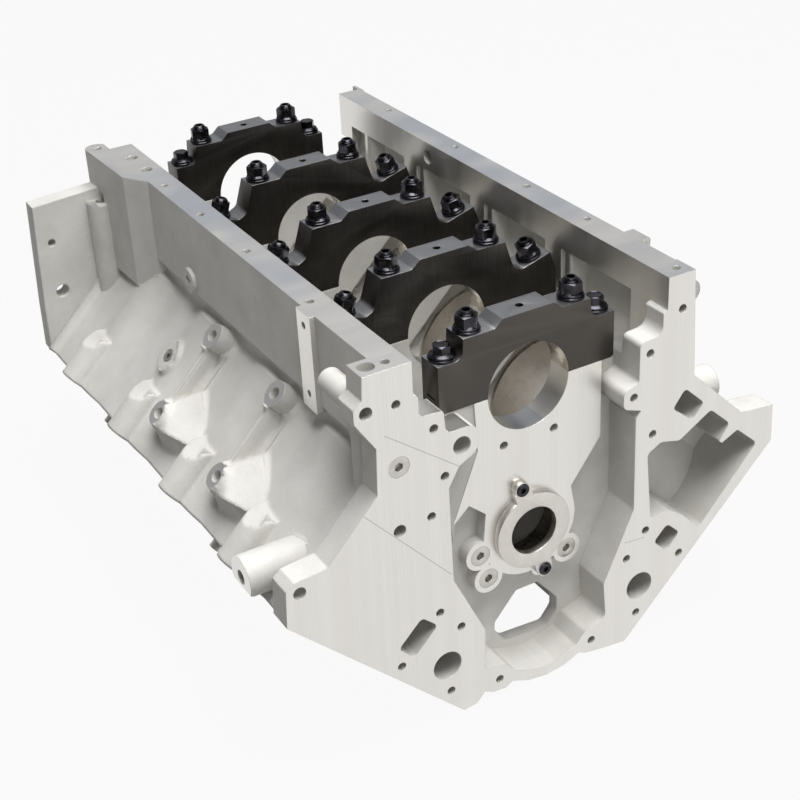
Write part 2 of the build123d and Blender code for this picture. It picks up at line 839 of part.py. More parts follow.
def make_retainer_ring():
    front = web_front - ring_thickness
    ring = rod_y(0, cam_z, ring_outer_r, front, web_front)
    ears = []
    for x, z in ring_screw_places():
        ears.append(rod_y(x, z, 6.6, front, web_front))
        along = Vector(x, 0, z - cam_z).normalized()
        middle = Vector(x, 0, z) - along * 11
        neck = Plane(origin=(middle.X, front, middle.Z), x_dir=(along.Z, 0, -along.X), z_dir=(0, 1, 0))
        ears.append(neck * Box(15, 20, ring_thickness, align=(Align.CENTER, Align.CENTER, Align.MIN)))
    ring = ring.fuse(*ears)
    cuts = [rod_y(0, cam_z, ring_hole_r, front - 5, web_front + 5)]
    cuts += [rod_y(x, z, 3.0, front - 5, web_front + 5) for x, z in ring_screw_places()]
    cuts += [rod_y(x, z, 5.2, front - 5, front + 3.2) for x, z in ring_screw_places()]
    return ring.cut(*cuts)


def make_retainer_screws():
    front = web_front - ring_thickness
    screws = []
    for x, z in ring_screw_places():
        head = rod_y(x, z, 5.2, front - 1.0, front + 3.2)
        shank = rod_y(x, z, 3.0, front, web_front + 12)
        key = extrude(RegularPolygon(2.3, 6), amount=3.2)
        screws.append(head.fuse(shank) - Plane(origin=(x, front - 2, z), z_dir=(0, 1, 0)) * key)
    return screws


def socket_plug(start, direction, radius, depth):
    """Flush screwed plug with a hexagon socket."""
    body = rod(start, direction, radius, depth)
    plane = Plane(origin=Vector(*start) - Vector(*direction), z_dir=direction)
    return body - plane * extrude(RegularPolygon(radius * 0.42, 6), amount=depth * 0.6)


def make_gallery_plugs():
    return [socket_plug(p, d, plug_r, plug_depth) for p, d in plug_places()[:3]]


def make_front_plug():
    start, direction = plug_places()[3]
    return socket_plug(start, direction, plug_r, plug_depth)


def make_drain_plugs():
    plugs = []
    for side in sides:
        start = side_plane(drain_depth, drain_out, side, drain_y[side]).origin
        plugs.append(socket_plug(tuple(start), (-side * half, 0, -half), drain_r, plug_depth))
    return plugs


def stand(plane, radius, height, hole):
    low = (Align.CENTER, Align.CENTER, Align.MIN)
    return plane * (Cylinder(radius, height, align=low) - Cylinder(hole, height * 3))


def flange_nut(plane):
    """Hexagon nut with a round collar, its upper corners turned off at 30 degrees."""
    low = (Align.CENTER, Align.CENTER, Align.MIN)
    hexagon = extrude(RegularPolygon(nut_flats / 2, 6, major_radius=False), amount=nut_h)
    corner = nut_flats / 2 / cos(pi / 6)
    reach = nut_h + (corner - nut_flats / 2 + 0.6) * tan(pi / 6)
    crown = Cone(corner + reach / tan(pi / 6) * 1.0, nut_flats / 2 - 0.6, reach, align=low)
    collar = Cone(nut_flange_r, nut_flats / 2, 3.4, align=low)
    return plane * ((hexagon & crown) + collar - Cylinder(stud_r, nut_h * 4))


def inner_planes():
    planes = []
    for number, y in enumerate(main_y):
        pad = end_cap_pad if number in (0, 4) else cap_pad
        planes += [Plane(origin=(side * inner_stud_x, y, pad)) for side in sides]
    return planes


def outer_planes():
    planes = []
    for y in main_y[1:4]:
        for side in sides:
            (x, z), (dx, dz) = stud_axis(side)
            planes.append(Plane(origin=(x, y, z), x_dir=(0, 1, 0), z_dir=(dx, 0, dz)))
    return planes


def end_bolt_planes():
    return [Plane(origin=(side * end_bolt_x, main_y[number], end_cap_step))
            for number in (0, 4) for side in sides]


def stud(plane, below):
    reach = washer_t + nut_h + stud_above_nut
    low = (Align.CENTER, Align.CENTER, Align.MIN)
    tip = Cone(stud_r, stud_r - 1.2, 1.4, align=low)
    body = Cylinder(stud_r, reach - 1.4 + below, align=low)
    return plane * (Pos(0, 0, -below) * body + Pos(0, 0, reach - 1.4) * tip)


def make_inner_studs():
    return [stud(p, p.origin.Z - saddle_z + stud_in_block) for p in inner_planes()]


def make_outer_studs():
    return [stud(p, p.origin.Z / p.z_dir.Z + wing_stud_in_block) for p in outer_planes()]


def lifted(plane, height):
    return Plane(origin=plane.origin + plane.z_dir * height, x_dir=plane.x_dir, z_dir=plane.z_dir)


def make_end_bolts():
    low = (Align.CENTER, Align.CENTER, Align.MIN)
    bolts = []
    for plane in end_bolt_planes():
        seat = lifted(plane, washer_t)
        head = extrude(RegularPolygon(bolt_flats / 2, 6, major_radius=False), amount=bolt_head_h)
        collar = Cone(bolt_flange_r, bolt_flats / 2, 3.0, align=low)
        below = washer_t + end_cap_step + bolt_in_block
        shank = Pos(0, 0, -below) * Cylinder(bolt_r, below, align=low)
        bolts.append(seat * (head + collar + shank))
    return bolts


def make_deck_dowels():
    dowels = []
    for side, y, out in deck_dowel_places():
        low = deck_height - dowel_h + dowel_proud
        outer = bank_rod(side, y, out, dowel_r, low, deck_height + dowel_proud)
        dowels.append(outer - bank_rod(side, y, out, dowel_bore_r, low - 5, deck_height + 20))
    return dowels


def make_bell_dowels():
    low = rear_y - dowel_h + dowel_proud
    return [rod_y(x, z, dowel_r, low, rear_y + dowel_proud - 2) for x, z in bell_dowel_places()]


def write(name, shape):
    solids = []
    for piece in shape if isinstance(shape, (list, tuple)) else [shape]:
        solids += piece.solids()
    step = solids[0] if len(solids) == 1 else Compound(children=solids)
    step.label = name
    export_step(step, f"parts/{name}.step")


os.makedirs("parts", exist_ok=True)
write("block_casting", make_casting())
for number in range(5):
    write(f"main_cap_{number + 1}", make_cap(number))
    write(f"cam_bearing_{number + 1}", make_cam_bearing(number))
for number in range(4):
    write(f"cylinder_sleeve_{number + 1}_left", make_sleeve(number, left))
    write(f"cylinder_sleeve_{number + 1}_right", make_sleeve(number, right))
write("cam_retainer_ring", make_retainer_ring())
write("cam_retainer_screws", make_retainer_screws())
write("inner_main_studs", make_inner_studs())
write("inner_main_washers", [stand(p, washer_r, washer_t, stud_r) for p in inner_planes()])
write("inner_main_nuts", [flange_nut(lifted(p, washer_t)) for p in inner_planes()])
write("outer_main_studs", make_outer_studs())
write("outer_main_washers", [stand(p, washer_r, washer_t, stud_r) for p in outer_planes()])
write("outer_main_nuts", [flange_nut(lifted(p, washer_t)) for p in outer_planes()])
write("end_cap_bolts", make_end_bolts())
write("end_cap_washers", [stand(p, washer_r, washer_t, bolt_r) for p in end_bolt_planes()])
write("gallery_plugs", make_gallery_plugs())
write("front_plug", make_front_plug())
write("drain_plugs", make_drain_plugs())
write("deck_dowels", make_deck_dowels())
write("bell_dowels", make_bell_dowels())
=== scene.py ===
# Bare aluminium V8 block lying on its decks, pan rails up, photographed on white.
import json
import math

import bmesh
import bpy
import numpy as np
from mathutils import Matrix, Vector
from mathutils.bvhtree import BVHTree


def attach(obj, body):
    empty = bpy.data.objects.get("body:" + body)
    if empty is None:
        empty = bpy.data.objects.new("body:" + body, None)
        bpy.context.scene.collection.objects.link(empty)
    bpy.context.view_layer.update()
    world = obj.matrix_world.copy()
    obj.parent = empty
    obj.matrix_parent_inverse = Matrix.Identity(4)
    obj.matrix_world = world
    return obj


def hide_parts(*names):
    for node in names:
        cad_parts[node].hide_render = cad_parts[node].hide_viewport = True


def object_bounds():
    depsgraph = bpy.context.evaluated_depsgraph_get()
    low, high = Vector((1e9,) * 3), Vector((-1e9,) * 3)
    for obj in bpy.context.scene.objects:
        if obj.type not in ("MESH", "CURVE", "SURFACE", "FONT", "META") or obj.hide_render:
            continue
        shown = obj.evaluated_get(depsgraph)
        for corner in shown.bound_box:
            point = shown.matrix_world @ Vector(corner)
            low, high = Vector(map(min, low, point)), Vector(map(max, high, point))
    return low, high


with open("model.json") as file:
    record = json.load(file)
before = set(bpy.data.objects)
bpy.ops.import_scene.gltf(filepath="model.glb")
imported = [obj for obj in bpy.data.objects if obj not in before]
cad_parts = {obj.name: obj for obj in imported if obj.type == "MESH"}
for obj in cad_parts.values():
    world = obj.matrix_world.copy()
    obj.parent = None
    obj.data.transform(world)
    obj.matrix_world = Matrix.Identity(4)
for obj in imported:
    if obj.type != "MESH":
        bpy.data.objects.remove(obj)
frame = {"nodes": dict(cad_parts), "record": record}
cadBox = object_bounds()
nodes = frame["nodes"]
scene = bpy.context.scene
mm = 0.001
diag = math.sqrt(0.5)
mainBore = 34.93
cylinderPitch = 111.76
print("frame loaded,", len(nodes), "nodes")


def linear(code):
    # sRGB hex text to the linear colour that the shaders want
    parts = [int(code[i:i + 2], 16) / 255 for i in (1, 3, 5)]
    return [c / 12.92 if c <= 0.04045 else ((c + 0.055) / 1.055) ** 2.4 for c in parts] + [1.0]


# materials

def fill(tree, node, values):
    # a node or an output is linked to its socket, a plain value sits on the socket itself
    for key, value in values.items():
        if value is None:
            continue
        socket = node.inputs[key]
        if isinstance(value, bpy.types.Node):
            value = value.outputs[0]
        if isinstance(value, bpy.types.NodeSocket):
            tree.links.new(value, socket)
        else:
            socket.default_value = value


def add(tree, kind, *inputs, named=None, **settings):
    # one node: inputs fill its sockets in order, None leaves one alone
    node = tree.nodes.new("ShaderNode" + kind)
    for key, value in settings.items():
        setattr(node, key, value)
    fill(tree, node, dict(enumerate(inputs)))
    fill(tree, node, named or {})
    return node


def calc(tree, operation, *inputs):
    return add(tree, "Math", *inputs, operation=operation)


def ramp(tree, value, limits, low=0.0, high=1.0):
    return add(tree, "MapRange", value, *limits, low, high)


def dot(tree, vector, direction):
    product = add(tree, "VectorMath", vector, direction, operation="DOT_PRODUCT")
    return product.outputs["Value"]


def newMaterial(name):
    material = bpy.data.materials.new(name)
    material.use_nodes = True
    tree = material.node_tree
    return material, tree, tree.nodes["Principled BSDF"]


def inMillimetres(tree):
    spot = add(tree, "TexCoord").outputs["Object"]
    return add(tree, "VectorMath", spot, (1000, 1000, 1000), operation="MULTIPLY")


def onMainBore(tree, place, reach):
    # 1 within reach of the crank bore's radius, 0 elsewhere
    across = add(tree, "VectorMath", place, (1, 0, 1), operation="MULTIPLY")
    axisDistance = add(tree, "VectorMath", across, operation="LENGTH").outputs["Value"]
    return calc(tree, "COMPARE", axisDistance, mainBore, reach)


castLook = {
    "light": "#d3d1cc", "dark": "#c3c1bb", "speck": "#8d8a85",
    "milled": "#e6e4df", "milledDark": "#e0ddd8", "paintedBlueReflection": "#bfc3ca", "scribe": "#86827d",
    "metallic": 0.15, "milledMetallic": 0.95,
    "roughness": (0.62, 0.78), "milledRoughness": (0.33, 0.39),
    # noise scales per mm
    "grain": 0.9, "pits": 0.42, "mottle": 0.02, "fineLines": 0.9, "broadLines": 0.05,
    "reflectionPatches": 0.009,
    # the values between which each noise takes effect, and the most that specks and the painted
    # reflection patches do
    "cloudLimits": (0.35, 0.7), "grainLimits": (0.3, 0.7), "pitLimits": (0.0, 0.28),
    "speckLimits": (0.62, 0.78), "speckMost": 0.55, "lineLimits": (0.75, 1.25),
    "reflectionPatchLimits": (0.46, 0.6), "reflectionPatchMost": 0.8,
    # depth of the grain, radius of the edges, and a face cutter's radius and track, all in mm
    "bump": 0.16, "edge": 1.8, "milledEdge": 0.5, "cutter": 40.0, "cutterTrack": 118.0,
    # share of the grain's depth that the lines have, and how near a faced plane counts in mm
    "lineDepth": 0.04, "planeReach": 0.4, "boreReach": 0.6,
    # cosines that count as lying in a faced plane, and as facing up or along the block
    "aligned": 0.97, "facing": 0.9,
}

# lines that a cutter's edge left on the front face, from one x and z to another in mm
scribes = {
    "lines": [
        ((-131.5, 14.0), (-73.6, -31.0)),
        ((-150.8, -44.4), (-82.7, -121.3)),
        ((74.0, -155.6), (93.3, -157.6)),
    ],
    # only what lies in front of this y is marked
    "halfWidth": 0.22, "strength": 0.75, "front": -32.3,
}

# planes that a cutter has faced, as a direction and its distance from the crank axis in mm
facedPlanes = [
    ((0, -1, 0), 32.4), ((0, -1, 0), 11.1), ((0, 0, 1), 63.5), ((0, 1, 0), 478.6),
    ((-diag, 0, -diag), 232.8), ((diag, 0, -diag), 232.8),
    ((-diag, 0, diag), 86.0), ((diag, 0, diag), 86.0),
    ((-1, 0, 0), 226.3), ((1, 0, 0), 213.0), ((0, 0, 1), 0.0),
    ((0, 0, 1), -1.0), ((0.0519, 0, 0.9987), 13.59),
    ((-1, 0, 0), -107.5), ((1, 0, 0), -107.5), ((-1, 0, 0), 134.2), ((1, 0, 0), 139.0),
]


def facedMask(tree, place, normal):
    # 1 where a surface lies in a faced plane and faces the same way, or in the main bore
    look = castLook
    mask = onMainBore(tree, place, look["boreReach"])
    for direction, distance in facedPlanes:
        height = dot(tree, place, direction)
        near = calc(tree, "COMPARE", height, distance, look["planeReach"])
        aligned = calc(tree, "GREATER_THAN", dot(tree, normal, direction), look["aligned"])
        mask = calc(tree, "MAXIMUM", mask, calc(tree, "MULTIPLY", near, aligned))
    return mask


def scribed(tree, place, colour):
    # thin darker lines over a colour of the front face
    split = add(tree, "SeparateXYZ", place)
    atFront = calc(tree, "LESS_THAN", split.outputs["Y"], scribes["front"])
    for (ax, az), (bx, bz) in scribes["lines"]:
        length = math.hypot(bx - ax, bz - az)
        ux, uz = (bx - ax) / length, (bz - az) / length
        middle = ax * ux + az * uz + length / 2
        along = dot(tree, place, (ux, 0, uz))
        beside = dot(tree, place, (-uz, 0, ux))
        within = calc(tree, "COMPARE", along, middle, length / 2)
        thin = calc(tree, "COMPARE", beside, az * ux - ax * uz, scribes["halfWidth"])
        mark = calc(tree, "MULTIPLY", calc(tree, "MULTIPLY", within, thin), atFront)
        mark = calc(tree, "MULTIPLY", mark, scribes["strength"])
        colour = add(tree, "MixRGB", mark, colour, linear(castLook["scribe"]))
    return colour


def castAluminium():
    # sand-cast skin with a sugary grain and faint clouds, bright cutter lines where it is faced
    look = castLook
    material, tree, shader = newMaterial("castAluminium")
    place = inMillimetres(tree)
    split = add(tree, "SeparateXYZ", place)
    normal = add(tree, "NewGeometry").outputs["True Normal"]
    facing = add(tree, "SeparateXYZ", normal)
    milled = facedMask(tree, place, normal)

    clouds = add(tree, "TexNoise", place,
                 named={"Scale": look["mottle"], "Detail": 4.0, "Roughness": 0.6})
    grain = add(tree, "TexNoise", place,
                named={"Scale": look["grain"], "Detail": 3.0, "Roughness": 0.7})
    pits = add(tree, "TexVoronoi", place, named={"Scale": look["pits"]})
    pitDepth = ramp(tree, pits.outputs["Distance"], look["pitLimits"], 1.0, 0.0)
    cloudMix = ramp(tree, clouds, look["cloudLimits"])
    castColour = add(tree, "MixRGB", cloudMix, linear(look["light"]), linear(look["dark"]))
    speckled = ramp(tree, grain, look["speckLimits"], 0.0, look["speckMost"])
    castColour = add(tree, "MixRGB", speckled, castColour, linear(look["speck"]))

    # cutter marks: straight lines up the front and sweeping arcs; the cool patches on upward faces
    # along the rails are a painted reflection
    sideways = calc(tree, "ABSOLUTE", split.outputs["X"])
    offTrack = calc(tree, "SUBTRACT", sideways, look["cutterTrack"])
    squared = calc(tree, "MULTIPLY", offTrack, offTrack)
    sweep = calc(tree, "POWER", calc(tree, "SUBTRACT", look["cutter"] ** 2, squared), 0.5)
    arc = calc(tree, "ADD", split.outputs["Y"], sweep)
    upMask = calc(tree, "GREATER_THAN", facing.outputs["Z"], look["facing"])
    endOn = calc(tree, "ABSOLUTE", facing.outputs["Y"])
    endMask = calc(tree, "GREATER_THAN", endOn, look["facing"])
    along = add(tree, "Mix", endMask, None, split.outputs["Y"], split.outputs["X"])
    along = add(tree, "Mix", upMask, None, along, arc)
    fine = add(tree, "TexNoise", noise_dimensions="1D",
               named={"W": along, "Scale": look["fineLines"], "Detail": 2.0})
    broad = add(tree, "TexNoise", noise_dimensions="1D",
                named={"W": along, "Scale": look["broadLines"], "Detail": 1.0})
    lines = calc(tree, "ADD", fine, broad)
    lineMix = ramp(tree, lines, look["lineLimits"])
    milledColour = add(tree, "MixRGB", lineMix, linear(look["milledDark"]), linear(look["milled"]))
    # painted reflection: blue-grey patches, only on the milled faces that turn up
    reflectionPatches = add(tree, "TexNoise", place, named={"Scale": look["reflectionPatches"], "Detail": 2.0})
    reflectionPatchMix = ramp(tree, reflectionPatches, look["reflectionPatchLimits"], 0.0, look["reflectionPatchMost"])
    reflectionPatchMix = calc(tree, "MULTIPLY", reflectionPatchMix, upMask)
    milledColour = add(tree, "MixRGB", reflectionPatchMix, milledColour, linear(look["paintedBlueReflection"]))
    milledColour = scribed(tree, place, milledColour)

    castGloss = ramp(tree, grain, look["grainLimits"], *look["roughness"])
    milledGloss = ramp(tree, lines, look["lineLimits"], *look["milledRoughness"])
    castHeight = calc(tree, "SUBTRACT", grain, pitDepth)
    lineHeight = calc(tree, "MULTIPLY", fine, look["lineDepth"])
    height = add(tree, "Mix", milled, None, castHeight, lineHeight)
    radius = add(tree, "Mix", milled, None, look["edge"] * mm, look["milledEdge"] * mm)
    rounded = add(tree, "Bevel", radius, samples=4)
    fill(tree, shader, {
        "Base Color": add(tree, "MixRGB", milled, castColour, milledColour),
        "Metallic": add(tree, "Mix", milled, None, look["metallic"], look["milledMetallic"]),
        "Roughness": add(tree, "Mix", milled, None, castGloss, milledGloss),
        "Normal": add(tree, "Bump", named={
            "Height": height, "Distance": look["bump"] * mm, "Strength": 1.0, "Normal": rounded}),
    })
    return material


capLook = {
    # two tones are painted light: a light grey on faces that turn up, a lighter brown on the front
    # cap
    "oxide": "#413f3d", "oxideWorn": "#4c4945", "paintedTopLight": "#9d9d9f", "paintedFrontLight": "#4f4c48",
    "bare": "#b5aea3", "roughness": 0.4, "bareRoughness": 0.2,
    # noise scales per mm, the brushed grain's along each axis, and its depth in mm
    "brush": (1.6, 0.6, 0.06), "clouds": 0.03, "bump": 0.01,
    # limits of the wear and of how far up a face turns for the painted top light, and how near the
    # bore counts in mm
    "wornLimits": (0.85, 1.2), "paintedTopLimits": (0.25, 0.8), "paintedTopMost": 0.85, "boreReach": 0.3,
    # how far round to the end a wall of the bore may face, as a cosine
    "wallMost": 0.5,
}


def blackCap():
    # oxide-black caps with painted light, greyer facing up and lighter and browner at the front,
    # with bare bright steel in the bore
    look = capLook
    material, tree, shader = newMaterial("blackOxideCap")
    place = inMillimetres(tree)
    split = add(tree, "SeparateXYZ", place)
    facing = add(tree, "SeparateXYZ", add(tree, "NewGeometry").outputs["True Normal"])
    stretched = add(tree, "VectorMath", place, look["brush"], operation="MULTIPLY")
    brushed = add(tree, "TexNoise", stretched, named={"Scale": 1.0, "Detail": 3.0})
    clouds = add(tree, "TexNoise", place, named={"Scale": look["clouds"], "Detail": 3.0})
    worn = ramp(tree, calc(tree, "ADD", brushed, clouds), look["wornLimits"])
    # painted light: the front half of the first cap, out in the open, is lighter and browner
    atFront = calc(tree, "LESS_THAN", split.outputs["Y"], 0.0)
    # painted highlight: faces that turn up are mixed towards a light grey
    paintedTopLight = ramp(tree, facing.outputs["Z"], look["paintedTopLimits"], 0.0, look["paintedTopMost"])
    endOn = calc(tree, "ABSOLUTE", facing.outputs["Y"])
    wall = calc(tree, "LESS_THAN", endOn, look["wallMost"])
    inBore = calc(tree, "MULTIPLY", onMainBore(tree, place, look["boreReach"]), wall)
    colour = linear(look["oxide"])
    shares = {"oxideWorn": worn, "paintedFrontLight": atFront, "paintedTopLight": paintedTopLight, "bare": inBore}
    for tone, share in shares.items():
        colour = add(tree, "MixRGB", share, colour, linear(look[tone]))
    fill(tree, shader, {
        "Base Color": colour,
        "Metallic": 1.0,
        "Roughness": add(tree, "Mix", inBore, None, look["roughness"], look["bareRoughness"]),
        "Normal": add(tree, "Bump", named={
            "Height": brushed, "Distance": look["bump"] * mm, "Strength": 1.0}),
    })
    return material


steelNoise = {
    # clouds per mm, the limits of their tone and gloss, and how far the gloss spreads
    "clouds": 0.11, "toneLimits": (0.35, 0.65), "glossLimits": (0.3, 0.7),
    "glossSpread": (0.8, 1.25),
}


def metal(name, light, dark, roughness, grain, bump):
    # machined or oxide-treated steel: slow cloudy tone, a fine tooth and uneven gloss
    look = steelNoise
    material, tree, shader = newMaterial(name)
    place = inMillimetres(tree)
    clouds = add(tree, "TexNoise", place,
                 named={"Scale": look["clouds"], "Detail": 5.0, "Roughness": 0.65})
    tooth = add(tree, "TexNoise", place, named={"Scale": grain, "Detail": 2.0, "Roughness": 0.6})
    tone = ramp(tree, clouds, look["toneLimits"])
    shiny, dull = (roughness * share for share in look["glossSpread"])
    fill(tree, shader, {
        "Base Color": add(tree, "MixRGB", tone, linear(dark), linear(light)),
        "Metallic": 1.0,
        "Roughness": ramp(tree, clouds, look["glossLimits"], shiny, dull),
        "Normal": add(tree, "Bump", named={
            "Height": tooth, "Distance": bump * mm, "Strength": 1.0}),
    })
    return material


steelLooks = {
    # slot: name, light, dark, roughness, grain per mm, depth of the grain in mm
    "black_fastener": ("blackOxideFastener", "#46454a", "#2a2a2c", 0.24, 2.5, 0.02),
    "liner_iron": ("honedIron", "#bdb8b0", "#b0aaa2", 0.3, 1.2, 0.03),
    "bearing_metal": ("bearingShell", "#b3aea2", "#8f8b82", 0.3, 1.0, 0.02),
    "retainer_steel": ("groundSteel", "#d8d4ce", "#cfcbc5", 0.38, 1.4, 0.02),
    "plug_steel": ("plugSteel", "#cfccc6", "#bdbab4", 0.36, 1.8, 0.03),
}
finishes = {"cast_aluminium": castAluminium(), "black_steel": blackCap()}
for slotName, values in steelLooks.items():
    finishes[slotName] = metal(*values)
slotOf = {part["node"]: part["material_slot"] for part in frame["record"]["subparts"]}
for name, node in nodes.items():
    node.data.materials.clear()
    node.data.materials.append(finishes[slotOf[name]])
print("materials done")


# floor, light and camera

floorLook = {
    "paper": "#6e6e6e", "fibre": "#767676", "fibreScale": 0.6, "roughness": 0.95,
    # share of plain white that the camera and the mirror rays see, half width in m, gap in mm
    "cameraWhite": 0.94, "mirrorWhite": 0.95, "half": 40.0, "gap": 0.2,
}


def makeStage():
    # a seamless pale sheet that keeps the soft contact shadow
    look = floorLook
    material, tree, shader = newMaterial("paperFloor")
    fibre = add(tree, "TexNoise", inMillimetres(tree),
                named={"Scale": look["fibreScale"], "Detail": 2.0})
    paper = add(tree, "MixRGB", fibre, linear(look["paper"]), linear(look["fibre"]))
    fill(tree, shader, {"Base Color": paper, "Roughness": look["roughness"]})
    # rays from the camera, reflected ones too, see mostly white with the shadow softly over it
    path = add(tree, "LightPath").outputs
    inMirror = calc(tree, "MAXIMUM", path["Is Glossy Ray"], path["Is Transmission Ray"])
    inMirror = calc(tree, "MULTIPLY", inMirror, look["mirrorWhite"])
    direct = calc(tree, "MULTIPLY", path["Is Camera Ray"], look["cameraWhite"])
    share = calc(tree, "MAXIMUM", direct, inMirror)
    white = add(tree, "Emission", (1, 1, 1, 1), 1.0)
    mixed = add(tree, "MixShader", share, shader, white)
    fill(tree, tree.nodes["Material Output"], {"Surface": mixed})
    mesh = bpy.data.meshes.new("floor")
    r, z = look["half"], cadBox[0][2] - look["gap"] * mm
    mesh.from_pydata([(-r, -r, z), (r, -r, z), (r, r, z), (-r, r, z)], [], [(0, 1, 2, 3)])
    floor = bpy.data.objects.new("floor", mesh)
    scene.collection.objects.link(floor)
    mesh.materials.append(material)


roomLook = {
    "strength": 0.42, "sweep": "#ffffff",
    # tones over the sweep: colour, then the direction's axis with where it starts and is full
    "ceiling": ("#a6a9ae", ("Z", 0.02, 0.5)),
    "flag": ("#3c3c3c", ("X", -0.35, -0.8), ("Z", 0.65, 0.4)),
    "wall": ("#e9ecf2", ("Y", 0.3, 0.75)),
}
lamps = {
    # name: place, aim, width, height, watts
    "overhead": ((0.1, -0.3, 2.2), (0, 0.2, -0.1), 1.7, 1.7, 94),
    "rear": ((0.9, 3.0, 1.5), (0, 0.3, 0), 3.0, 2.4, 4.5),
    "front": ((0.2, -2.6, 0.4), (0, 0.0, -0.1), 2.6, 1.4, 16),
}


def makeLights():
    world = bpy.data.worlds.new("paleRoom")
    scene.world = world
    world.use_nodes = True
    tree = world.node_tree
    tree.nodes.clear()
    # a white sweep round it, a greyer ceiling, a pale wall behind and a dark flag low on the left
    direction = add(tree, "TexCoord").outputs["Generated"]
    split = add(tree, "SeparateXYZ", direction)
    tone = linear(roomLook["sweep"])
    for word in ("ceiling", "flag", "wall"):
        code, *limits = roomLook[word]
        share = None
        for axis, start, full in limits:
            part = ramp(tree, split.outputs[axis], (start, full))
            share = part if share is None else calc(tree, "MULTIPLY", share, part)
        tone = add(tree, "MixRGB", share, tone, linear(code))
    add(tree, "OutputWorld", add(tree, "Background", tone, roomLook["strength"]))
    for name, (place, aim, width, height, watts) in lamps.items():
        light = bpy.data.lights.new(name, "AREA")
        light.shape, light.size, light.size_y, light.energy = "RECTANGLE", width, height, watts
        lamp = bpy.data.objects.new(name, light)
        scene.collection.objects.link(lamp)
        lamp.location = place
        lamp.rotation_euler = (Vector(aim) - Vector(place)).to_track_quat("-Z", "Y").to_euler()


cameraSetting = {
    "place": (-0.5531, -0.8278, 0.5657), "azimuth": 27.12, "elevation": -29.479, "roll": -3.908,
    "lens": 70.67, "sensor": 36, "shiftX": 0.0482, "shiftY": -0.0226,
}


def makeCamera():
    s = cameraSetting
    az, el, roll = (math.radians(s[k]) for k in ("azimuth", "elevation", "roll"))
    ahead = Vector((math.sin(az) * math.cos(el), math.cos(az) * math.cos(el), math.sin(el)))
    right = Vector((math.cos(az), -math.sin(az), 0))
    up = right.cross(ahead)
    rightRolled = math.cos(roll) * right + math.sin(roll) * up
    upRolled = -math.sin(roll) * right + math.cos(roll) * up
    data = bpy.data.cameras.new("photoCamera")
    data.lens, data.sensor_width = s["lens"], s["sensor"]
    data.shift_x, data.shift_y = s["shiftX"], s["shiftY"]
    camera = bpy.data.objects.new("photoCamera", data)
    scene.collection.objects.link(camera)
    turn = Matrix((rightRolled, upRolled, -ahead)).transposed()
    camera.matrix_world = Matrix.Translation(s["place"]) @ turn.to_4x4()
    scene.camera = camera


makeStage()
makeLights()
makeCamera()
scene.view_settings.view_transform = "Standard"
print("stage, light and camera done")


# pieces beside and in place of the plain solids

def newPiece(name, mesh, slotName):
    piece = bpy.data.objects.new(name, mesh)
    scene.collection.objects.link(piece)
    mesh.materials.clear()
    mesh.materials.append(finishes[slotName])
    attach(piece, "root")
    return piece


# the slanted wall that closes the gap between the front's left side and the first bearing's web
pocketWall = {
    # height, then x and y at the left and right edge, in mm
    "rows": [
        (-0.5, -80, -11.5, -44, -9.5),
        (-20.0, -80, -18, -44, -9.5),
        (-41.0, -80, -24, -43, -9.5),
        (-98.5, -76, -24, -65, -9.5),
        (-114.0, -80, -24, -71, -9.5),
    ],
    "thickness": 4.0,
}


def makePocketWall():
    vertices, faces = [], []
    for z, leftX, leftY, rightX, rightY in pocketWall["rows"]:
        for back in (0, pocketWall["thickness"]):
            vertices.append((leftX * mm, (leftY + back) * mm, z * mm))
            vertices.append((rightX * mm, (rightY + back) * mm, z * mm))
    last = len(vertices) - 4
    for row in range(0, last, 4):
        low = row + 4
        faces += [(row, low, low + 1, row + 1), (row + 2, row + 3, low + 3, low + 2)]
        faces += [(row, row + 2, low + 2, low), (row + 1, low + 1, low + 3, row + 3)]
    faces += [(0, 1, 3, 2), (last, last + 2, last + 3, last + 1)]
    mesh = bpy.data.meshes.new("pocket_wall")
    mesh.from_pydata(vertices, [], faces)
    newPiece("pocket_wall", mesh, "cast_aluminium")


# the outboard wall of a bank, as heights in mm over the place along the block and the depth to
# the deck; a draft is how fast a side falls off, and a boss and the drain stand out of the skin
flank = {
    "from": -10.9, "to": 461.4, "crease": 99.0, "deck": 232.5, "stagger": 12.0,
    "wall": 67.25, "barrel": 74.25, "barrelTop": 110.0, "barrelBlend": 3.5,
    "columnAxis": 71.7, "column": 15.9, "columnStart": 186.0, "columnTop": 76.5,
    "columnRise": 0.72, "columnFall": 1.6, "columnEdge": 0.3, "columnDraft": 1.6,
    "columnBlend": 2.2,
    "mounts": {-1: (118.7, 232.6), 1: (142.7, 256.6)}, "rows": (115.7, 192.8),
    "webHalf": 2.3, "webTop": 83.6, "webDraft": 9.0, "webBlend": 2.5,
    "footHalf": 4.0, "footTop": 69.7, "footDraft": 0.9, "footBlend": 2.0, "footShift": 5.5,
    "wedge": [(-5.7, -15.8), (-13.7, -34.8), (-33.7, -20.8), (-49.7, -1.3), (-52.7, 2.2),
              (-6.7, 11.2)],
    "wedgeLow": (-33.7, -20.8), "wedgeUphill": (0.774, 0.635), "wedgeRise": 0.6,
    "wedgeBase": 2.0, "wedgeMost": 16.0, "wedgeEdge": 1.0, "wedgeDraft": 1.6,
    "wedgeReach": 14.0, "wedgeBlend": 3.0,
    "bossRadius": 12.6, "bossFillet": 5.0, "bossInset": 2.0,
    "drain": {-1: 286.0, 1: 310.0}, "drainDepth": 156.0, "drainRadius": 15.0,
    "drainFillet": 4.0, "drainInset": 3.0, "sunk": 50.0,
    "creaseFillet": 14.0, "frontFillet": 6.0, "rearFillet": 8.0,
}
